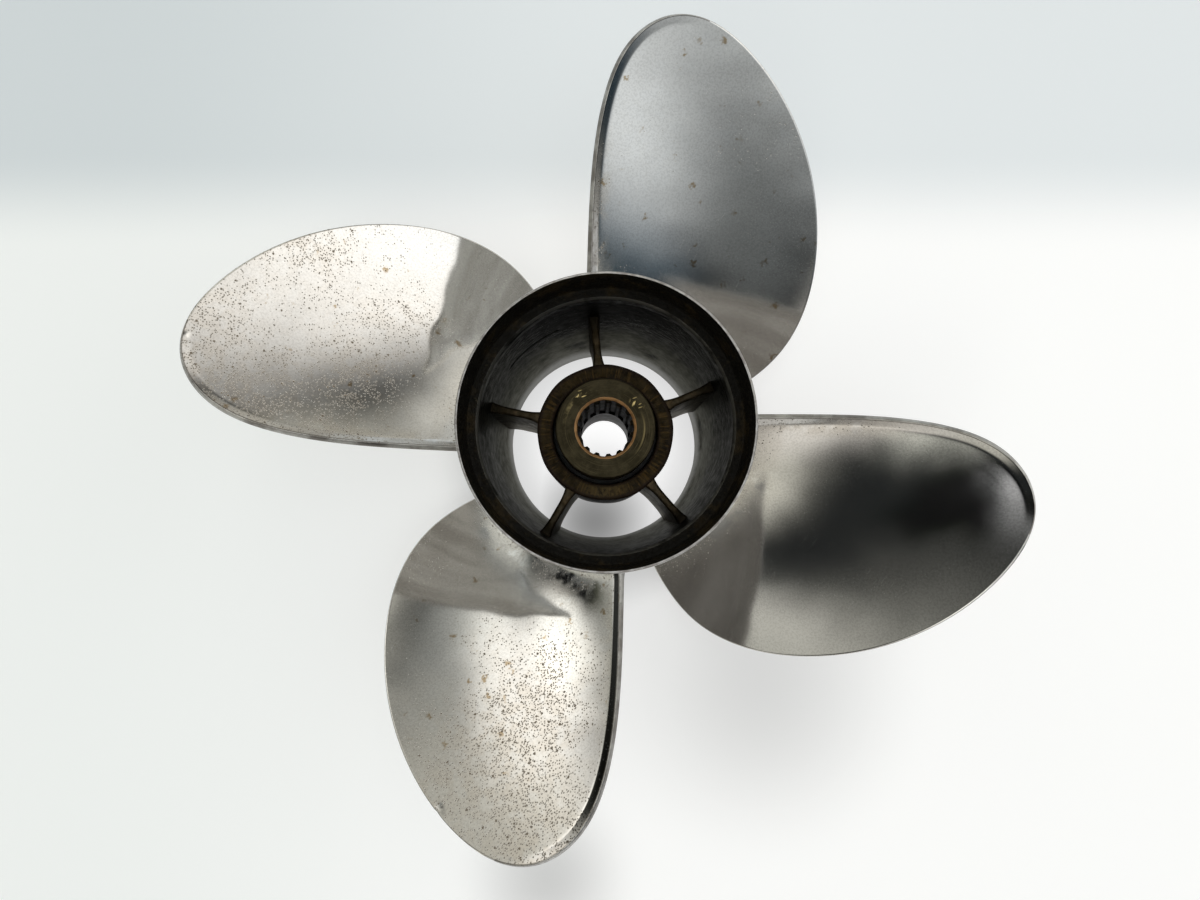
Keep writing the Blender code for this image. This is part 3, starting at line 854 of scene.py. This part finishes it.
def blade_finish(name, roughness, pitting, rust, dullness, scratched, cup_reflection_dark, back_shade_tone):
    """Polished steel of one blade: its share of pits, rust, dull film and scratches, a painted dark cup
    reflection and painted back shade.
    """
    steel = Finish(name, (0.70, 0.69, 0.67), roughness, metallic=1.0)
    radius = steel.measure()[0]
    trailing = steel.attribute("trailing_gap")
    film = steel.cloud(14.0, 2.0, 0.6)
    mottle = steel.cloud(75.0, 3.0, 0.65)
    colour = steel.blend(steel.times(steel.band(film, 0.40, 0.65), dullness), BRIGHT_STEEL, FILMED_STEEL)
    near_root = steel.band(radius, 0.094, 0.066)
    near_trailing = steel.times(steel.band(trailing, 0.012, 0.005), steel.band(radius, 0.15, 0.11))
    etched = steel.times(steel.maths("MAXIMUM", near_root, near_trailing), steel.band(mottle, 0.34, 0.52))
    colour = steel.blend(steel.times(etched, 0.40), colour, ETCHED_STEEL)

    thick = steel.times(steel.band(radius, 0.078, 0.120), steel.band(film, 0.64, 0.40, 0.35, 1.0), pitting)
    thick = steel.times(thick, steel.band(steel.cloud(160.0, 2.0, 0.6), 0.36, 0.56, 0.5, 1.2))
    thick = steel.times(thick, steel.band(trailing, 0.100, 0.060, 0.40, 1.25))
    thick = steel.maths("MAXIMUM", thick, steel.times(etched, 0.55))
    fine = steel.times(steel.spots(0.00095, 0.00076, thick, 0.14), 0.85)
    coarse = steel.spots(0.0026, 0.0013, steel.maths("ADD", steel.times(thick, 0.60), 0.02), 0.08, 0.9)
    pits = steel.maths("MAXIMUM", fine, coarse)
    stains = steel.spots(0.0090, 0.0044, 0.75 * rust, 0.16, 1.4)
    stains = steel.times(stains, steel.band(mottle, 0.40, 0.54))
    colour = steel.blend(steel.times(stains, 0.80), colour, RUST_STAIN)
    colour = steel.blend(steel.times(thick, 0.22), colour, PITTED_STEEL)
    colour = steel.blend(steel.times(pits, 0.85), colour, steel.blend(coarse, FINE_PIT, COARSE_PIT))
    grain = steel.cloud(1100.0, 2.0, 0.6)
    colour = steel.blend(steel.band(grain, 0.40, 0.66, 0.0, 0.22), colour, GRAINED_STEEL)
    one_way = steel.stretched((0.0200, 0.0006, 0.0200), math.radians(62))
    other_way = steel.stretched((0.0120, 0.0005, 0.0160), math.radians(-24))
    scratches = steel.maths(
        "MAXIMUM",
        steel.spots(1.0, 0.36, 0.45, 0.06, where=one_way),
        steel.spots(1.0, 0.36, 0.35, 0.06, where=other_way),
    )
    scratches = steel.times(scratches, steel.band(film, 0.42, 0.58), scratched)
    colour = steel.blend(steel.times(scratches, 0.45), colour, SCRATCHED_STEEL)

    # Painted reflection: a dark band in the cup, standing in for the dark room that it reflects
    cup = steel.between(trailing, 0.0008, CUP_WIDTH - 0.0004, 0.0005)
    cup = steel.times(cup, steel.band(radius, 0.19, 0.16), cup_reflection_dark)
    colour = steel.blend(cup, colour, CUP_DARK_REFLECTION)
    # Painted shade: the backs are painted dark, for the shaded floor under the propeller that the other
    # blades reflect in them
    back = steel.band(steel.attribute("back"), 0.3, 0.7)
    pale, brown = [tuple(back_shade_tone * part for part in shade) for shade in (SHADED_BACK_PALE, SHADED_BACK_BROWN)]
    shaded_back = steel.blend(steel.band(mottle, 0.35, 0.65), brown, pale)
    colour = steel.blend(back, colour, shaded_back)
    land = steel.band(steel.attribute("land"), 0.2, 0.5)
    ground = steel.blend(steel.band(mottle, 0.35, 0.65), LAND_DARK, LAND_PALE)
    border = steel.times(steel.between(trailing, 0.00035, 0.00060, 0.00020), 0.7)
    colour = steel.blend(border, colour, LAND_BORDER)
    colour = steel.blend(land, colour, ground)
    rough = steel.maths("ADD", steel.times(pits, 0.4), steel.times(etched, 0.14))
    rough = steel.maths("ADD", rough, steel.band(film, 0.35, 0.65, roughness - 0.02, roughness + 0.03))
    rough = steel.maths("ADD", rough, steel.times(back, 0.12))
    dull = steel.maths("MAXIMUM", steel.times(pits, 0.35), steel.times(scratches, 0.25))
    waves = steel.bump(steel.cloud(30.0, 1.0, 0.5), 0.00035)
    steel.set(
        base_color=colour,
        roughness=steel.maths("ADD", rough, steel.times(land, 0.25)),
        metallic=steel.maths("SUBTRACT", 1.0, dull),
        normal=steel.bump(steel.times(pits, -1.0), 0.00007, under=waves),
    )
    return steel


BLADES = [
    # what blade_finish takes, in its order
    ("top_blade_steel", 0.10, 0.20, 1.00, 0.35, 0.8, 0.45, 2.0),
    ("right_blade_steel", 0.075, 0.06, 0.20, 0.30, 0.5, 0.2, 1.1),
    ("bottom_blade_steel", 0.06, 1.00, 0.95, 0.15, 0.6, 1.0, 0.65),
    ("left_blade_steel", 0.065, 0.95, 0.80, 0.20, 0.2, 0.2, 1.5),
]
NICKS = [
    # for each blade in turn: place in X and Y, width and depth
    [(0.100, 0.105, 0.0012, 0.0003)],
    [(0.120, -0.095, 0.0010, 0.0003)],
    [(-0.072, -0.166, 0.0016, 0.0007), (-0.101, -0.118, 0.0010, 0.0003)],
    [(-0.150, 0.080, 0.0012, 0.0003), (-0.182, 0.040, 0.0010, 0.0003)],
]
plain_blade = blade_mesh()
for i, (wear, nicks) in enumerate(zip(BLADES, NICKS)):
    name = f"blade_{i + 1}"
    mesh = plain_blade.copy()
    mesh.name = name + "_polished"
    mesh.transform(Euler((0, 0, -i * 2 * math.pi / BLADE_COUNT)).to_matrix().to_4x4())
    nick(mesh, nicks)
    finish_mesh(mesh, sharp_angle=50)
    in_place(name + "_polished", mesh, [name], [blade_finish(*wear)])


# Rubber bush: moulded black rubber, pressed into the inner barrel round the sleeve to soften the drive.
# Only its aft end shows, in the shadow under the sleeve's collar.
COLLAR_BOTTOM = INNER_TOP - 0.006
BUSH_BOTTOM = 0.018
SLEEVE_RADIUS = 0.0170

BLACK_RUBBER = (0.010, 0.010, 0.010)
DUSTY_RUBBER = (0.035, 0.030, 0.026)
rubber = Finish("black_rubber", (0.012, 0.012, 0.012), roughness=0.75, metallic=0.0)
dust = rubber.cloud(180.0, 3.0, 0.7)
rubber.set(
    base_color=rubber.blend(rubber.band(dust, 0.5, 0.75), BLACK_RUBBER, DUSTY_RUBBER),
    roughness=rubber.band(dust, 0.3, 0.7, 0.6, 0.9),
    normal=rubber.bump(dust, 0.0002),
)
bush_mesh = turned("rubber_bush_ring", [
    (INNER_BORE - 0.0001, COLLAR_BOTTOM - 0.0003, 0.0010),
    (INNER_BORE - 0.0001, BUSH_BOTTOM, 0.0010),
    (SLEEVE_RADIUS + 0.0001, BUSH_BOTTOM, 0.0010),
    (SLEEVE_RADIUS + 0.0001, COLLAR_BOTTOM - 0.0003, 0.0010),
], steps=180, spacing=0.0015)
in_place("rubber_bush_ring", bush_mesh, ["rubber_bush"], [rubber])


# Spline sleeve: a turned bronze sleeve bonded in the bush. Its aft face takes the washer under the nut,
# and fifteen teeth broached in its bore take the shaft's spline. The chamfer at the mouth has worn
# bright, and old grease blackens the teeth.
SLEEVE_TOP = HUB_LENGTH - 0.031
SLEEVE_BOTTOM = 0.014
COLLAR_RADIUS = 0.0222
SPLINE_MINOR = 0.0113
SPLINE_MAJOR = 0.0125
SPLINE_CHAMFER = 0.0137
SPLINE_LENGTH = 0.044
SPLINE_TEETH = 15
SLEEVE_BORE = 0.0127

TARNISH_DARK = (0.020, 0.0165, 0.0090)
TARNISH_BROWN = (0.047, 0.039, 0.0225)
TOOL_LINE = (0.092, 0.076, 0.042)
RUBBED_BRONZE = (0.38, 0.30, 0.14)
CUT_BRONZE = (0.75, 0.58, 0.26)
WORN_CHAMFER = (0.62, 0.35, 0.16)
GREASE = (0.003, 0.0028, 0.0020)
WORN_CREST = (0.08, 0.048, 0.025)
SHADED_SLEEVE_SIDE = (0.030, 0.024, 0.018)
SLOT_START = 0.68
SLOT_FULL = 0.44
bronze = Finish("dull_bronze", (0.16, 0.14, 0.10), roughness=0.4, metallic=0.85, gloss=0.06)
radius, _, height = bronze.measure()
turning = bronze.cloud(1.0, 3.0, 0.7, where=bronze.rolled(1.2, bronze.times(radius, 2600.0)))
tarnish = bronze.cloud(120.0, 4.0, 0.7)
colour = bronze.blend(bronze.band(tarnish, 0.35, 0.65), TARNISH_DARK, TARNISH_BROWN)
colour = bronze.blend(bronze.times(bronze.band(turning, 0.52, 0.70), 0.5), colour, TOOL_LINE)

# Two arcs that the washer has rubbed, and a few fresh cuts beside them
left_arc = bronze.times(
    bronze.between(radius, 0.0178, 0.0190, 0.0004),
    bronze.near((-0.0140, 0.0110, SLEEVE_TOP), 0.012),
    bronze.band(tarnish, 0.42, 0.60),
)
right_arc = bronze.times(
    bronze.between(radius, 0.0170, 0.0174, 0.0003), bronze.near((0.0170, -0.0020, SLEEVE_TOP), 0.011),
)
arcs = bronze.maths("MAXIMUM", bronze.times(left_arc, 0.6), bronze.times(right_arc, 0.6))
one_way = bronze.stretched((0.0050, 0.0010, 0.0030), math.radians(20))
other_way = bronze.stretched((0.0045, 0.0010, 0.0030), math.radians(70))
cuts = bronze.maths(
    "MAXIMUM",
    bronze.spots(1.0, 0.6, 0.8, 0.1, where=one_way),
    bronze.spots(1.0, 0.6, 0.8, 0.1, where=other_way),
)
cut_places = bronze.maths(
    "MAXIMUM",
    bronze.near((-0.0113, 0.0142, SLEEVE_TOP), 0.0042),
    bronze.near((0.0139, 0.0110, SLEEVE_TOP), 0.0042),
)
cuts = bronze.times(cuts, cut_places)
colour = bronze.blend(bronze.times(arcs, 0.6), colour, RUBBED_BRONZE)
colour = bronze.blend(cuts, colour, CUT_BRONZE)

chamfer = bronze.times(
    bronze.between(radius, SPLINE_CHAMFER - 0.0010, SPLINE_CHAMFER - 0.0001, 0.0002),
    bronze.band(height, SLEEVE_TOP - 0.003, SLEEVE_TOP - 0.002),
)
colour = bronze.blend(chamfer, colour, WORN_CHAMFER)
deep = bronze.times(
    bronze.band(radius, SPLINE_CHAMFER - 0.0006, SPLINE_CHAMFER - 0.0014),
    bronze.band(height, SLEEVE_TOP - 0.0004, SLEEVE_TOP - 0.0022),
)
crests = bronze.times(
    bronze.band(radius, SPLINE_MINOR + 0.0004, SPLINE_MINOR + 0.0001), bronze.band(tarnish, 0.5, 0.6),
)
greasy = bronze.blend(bronze.times(crests, 0.3), GREASE, WORN_CREST)
# Painted shade: the sleeve's outer side, below the top of its collar, is painted dark
shaded_side = bronze.times(
    bronze.band(radius, SLEEVE_RADIUS - 0.001, SLEEVE_RADIUS),
    bronze.band(height, SLEEVE_TOP, SLEEVE_TOP - 0.004),
)
colour = bronze.blend(deep, colour, greasy)
colour = bronze.blend(shaded_side, colour, SHADED_SLEEVE_SIDE)
bronze.set(
    base_color=colour,
    roughness=bronze.maths("ADD", bronze.band(tarnish, 0.3, 0.7, 0.36, 0.55), bronze.times(deep, 0.2)),
    metallic=bronze.maths("SUBTRACT", 0.85, bronze.times(deep, 0.85)),
    normal=bronze.bump(bronze.maths("ADD", turning, tarnish), 0.00016),
)


def toothed_bore(radii, heights, turns):
    """Slots between the teeth, cut into the bore of the sleeve down to the end of the spline.

    share is 0 in the middle of a slot and 1 in the middle of a tooth.
    """
    share = np.abs(((turns * SPLINE_TEETH / (2 * math.pi) + 0.5) % 1) - 0.5) * 2
    slot = np.clip((SLOT_START - share) / (SLOT_START - SLOT_FULL), 0, 1)
    cut = SPLINE_MINOR + (SPLINE_MAJOR - SPLINE_MINOR) * slot
    in_bore = (radii < SPLINE_CHAMFER + 0.0001) & (heights > SLEEVE_TOP - SPLINE_LENGTH + 0.0001)
    return np.where(in_bore, np.maximum(radii, cut), radii), heights


spline_end = SLEEVE_TOP - SPLINE_LENGTH
sleeve_mesh = turned("spline_sleeve_bronze", [
    (COLLAR_RADIUS, SLEEVE_TOP, 0.0009),
    (COLLAR_RADIUS, COLLAR_BOTTOM, 0.0004),
    (SLEEVE_RADIUS, COLLAR_BOTTOM, 0.0004),
    (SLEEVE_RADIUS, SLEEVE_BOTTOM, 0.0008),
    (SLEEVE_BORE, SLEEVE_BOTTOM, 0.0008),
    (SLEEVE_BORE, spline_end - 0.001, 0.0),
    (SPLINE_MINOR, spline_end, 0.0),
    (SPLINE_MINOR, SLEEVE_TOP - (SPLINE_CHAMFER - SPLINE_MINOR), 0.0),
    (SPLINE_CHAMFER, SLEEVE_TOP, 0.0002),
], steps=SPLINE_TEETH * 20, spacing=0.0013, shape=toothed_bore)
in_place("spline_sleeve_bronze", sleeve_mesh, ["spline_sleeve"], [bronze])


# Studio: a pale floor that glows a little like a light table, under a round light tent. The tent glows
# where soft lamps shine on it and is dark behind black cards. It lights the steel and shows in it, but
# the camera looks through it to a plain pale room.
FLOOR_REACH = 12
FLOOR_COLOUR = (0.42, 0.43, 0.43)
WHITE = (1.0, 1.0, 1.0)
BLACK = (0.0, 0.0, 0.0)
FAR_FLOOR = (0.76, 0.80, 0.82)
LEFT_FLOOR = (0.865, 0.890, 0.880)
FAR_LEFT_FLOOR = (0.62, 0.67, 0.69)
FLOOR_GLOW = 0.56
GLOW_UNDER_HUB = 0.97
floor_mesh = bpy.data.meshes.new("floor")
floor_corners = [(x * FLOOR_REACH, y * FLOOR_REACH, 0) for x, y in ((-1, -1), (1, -1), (1, 1), (-1, 1))]
floor_mesh.from_pydata(floor_corners, [], [(0, 1, 2, 3)])
floor = bpy.data.objects.new("floor", floor_mesh)
bpy.context.scene.collection.objects.link(floor)
floor_paint = Finish("pale_floor", FLOOR_COLOUR, roughness=0.6, metallic=0.0)
across, along, _ = floor_paint.apart(floor_paint.place)
far_side = floor_paint.band(along, 0.11, 0.17)
left_side = floor_paint.band(across, 0.05, -0.30)
tone = floor_paint.blend(far_side, WHITE, FAR_FLOOR)
tone = floor_paint.blend(left_side, tone, floor_paint.blend(far_side, LEFT_FLOOR, FAR_LEFT_FLOOR))

# Soft shades, painted on as a glowing floor hardly shows them: in the hub, by the lower blades, at the foot
under_hub = floor_paint.band(floor_paint.measure()[0], 0.057, 0.050)
hub_shade = floor_paint.times(under_hub, floor_paint.near((-0.005, -0.042, 0.0), 0.055), 0.75)
blade_shade = floor_paint.times(floor_paint.near((0.085, -0.135, 0.0), 0.10), 0.26)
tip_shade = floor_paint.times(floor_paint.near((-0.030, -0.235, 0.0), 0.055), 0.35)
foot_shade = floor_paint.times(floor_paint.between(floor_paint.measure()[0], 0.0585, 0.0585, 0.040), 0.35)
shade = hub_shade
for part in (blade_shade, tip_shade, foot_shade):
    shade = floor_paint.maths("MAXIMUM", shade, part)
tone = floor_paint.blend(shade, tone, BLACK)
floor_paint.set(
    base_color=floor_paint.blend(0.5, tone, BLACK),
    emission_color=tone,
    emission_strength=floor_paint.band(under_hub, 0.0, 1.0, FLOOR_GLOW, GLOW_UNDER_HUB),
)
floor_mesh.materials.append(floor_paint.material)

LAMPS = [
    # azimuth from +Y towards +X and elevation, reach in each, colour, strength (below 0 for a black card)
    (11, 61, 15, 40, (1.0, 0.98, 0.86), 1.60),
    (49, 2, 44, 14, (1.0, 0.98, 0.89), 1.00),
    (62, 34, 26, 19, (1.0, 0.98, 0.93), 1.50),
    (103, 46, 30, 25, (0.95, 0.99, 1.0), 1.00),
    (135, 39, 35, 8, (0.93, 1.0, 1.0), 0.15),
    (150, 63, 40, 15, (0.95, 1.0, 1.0), 0.80),
    (194, 42, 12, 40, (1.0, 0.95, 0.87), 1.05),
    (205, 52, 12, 12, (1.0, 1.0, 0.88), 2.40),
    (221, 51, 14, 4, (1.0, 1.0, 1.0), 1.30),
    (221, 14, 19, 12, (1.0, 0.97, 0.84), 0.92),
    (273, 12, 21, 29, (1.0, 1.0, 0.89), 0.60),
    (263, 36, 9, 6, (1.0, 0.97, 0.88), 0.30),
    (305, 17, 10, 11, (1.0, 0.99, 0.92), 1.50),
    (310, 44, 52, 9, (1.0, 0.98, 0.86), 0.58),
    (317, 29, 15, 10, (1.0, 0.98, 0.92), 1.42),
    (337, 4, 17, 27, (0.98, 1.0, 0.93), 1.05),
    (120, 11, 28, 18, (1.0, 0.75, 0.50), -0.11),
    (229, 49, 8, 7, (1.0, 1.0, 1.0), -0.12),
    (306, 4, 16, 6, (1.0, 1.0, 0.95), -0.75),
]
LAMP_EDGE = 1.6
LEAST_GLOW = 0.008
CEILING = (0.97, 1.0, 0.99)
DARK = (0.020, 0.022, 0.022)
TENT_RADIUS = 11.9
CEILING_START = 48
CEILING_RISE = 26
elevations, azimuths = np.meshgrid(np.arange(-1.5, 90.1, 1.5), np.arange(0, 360, 2.5), indexing="ij")
overhead = np.clip((elevations - CEILING_START) / CEILING_RISE, 0, 1)[..., None]
glow = DARK + (np.array(CEILING) - DARK) * overhead * overhead * (3 - 2 * overhead)
for direction, rise, width, height, colour, strength in LAMPS:
    aside = ((azimuths - direction + 180) % 360 - 180) / width
    above = (elevations - rise) / height
    glow += np.exp(-(aside ** 2 + above ** 2) ** LAMP_EDGE)[..., None] * strength * np.array(colour)
glow = np.maximum(glow, LEAST_GLOW)
level = np.cos(np.radians(elevations))
tent_points = TENT_RADIUS * np.stack([
    level * np.sin(np.radians(azimuths)),
    level * np.cos(np.radians(azimuths)),
    np.sin(np.radians(elevations)),
], axis=-1)
tent_mesh = closed_grid("light_tent", tent_points, around=False)
layer = tent_mesh.color_attributes.new("glow", "FLOAT_COLOR", "POINT")
glow_and_alpha = np.concatenate([glow, np.ones_like(overhead)], axis=-1)
layer.data.foreach_set("color", glow_and_alpha.reshape(-1).astype(np.float32))
tent_light = bpy.data.materials.new("tent_light")
tent_light.use_nodes = True
tent_light.cycles.emission_sampling = "NONE"
lining = Pattern(tent_light.node_tree)
lamp = lining.add("ShaderNodeEmission")
lining.feed(lamp.inputs["Color"], lining.add("ShaderNodeAttribute", attribute_name="glow").outputs["Color"])
lining.feed(lining.tree.nodes["Material Output"].inputs["Surface"], lamp.outputs[0])
tent_mesh.materials.append(tent_light)
tent = bpy.data.objects.new("light_tent", tent_mesh)
bpy.context.scene.collection.objects.link(tent)
tent.visible_camera = False

ROOM_COLOUR = (0.84, 0.86, 0.87)
world = bpy.data.worlds.new("pale_room")
world.use_nodes = True
world.node_tree.nodes["Background"].inputs["Color"].default_value = (*ROOM_COLOUR, 1.0)
world.cycles.sampling_method = "NONE"
bpy.context.scene.world = world

camera_data = bpy.data.cameras.new("camera")
camera = bpy.data.objects.new("camera", camera_data)
bpy.context.scene.collection.objects.link(camera)
camera.location = (-0.00409, -0.03833, 0.50373)
camera.rotation_euler = Euler((math.radians(4.118), math.radians(-0.235), 0.0))
camera_data.sensor_width = 36.0
camera_data.lens = 27.12
bpy.context.scene.camera = camera
bpy.context.scene.view_settings.view_transform = "Standard"
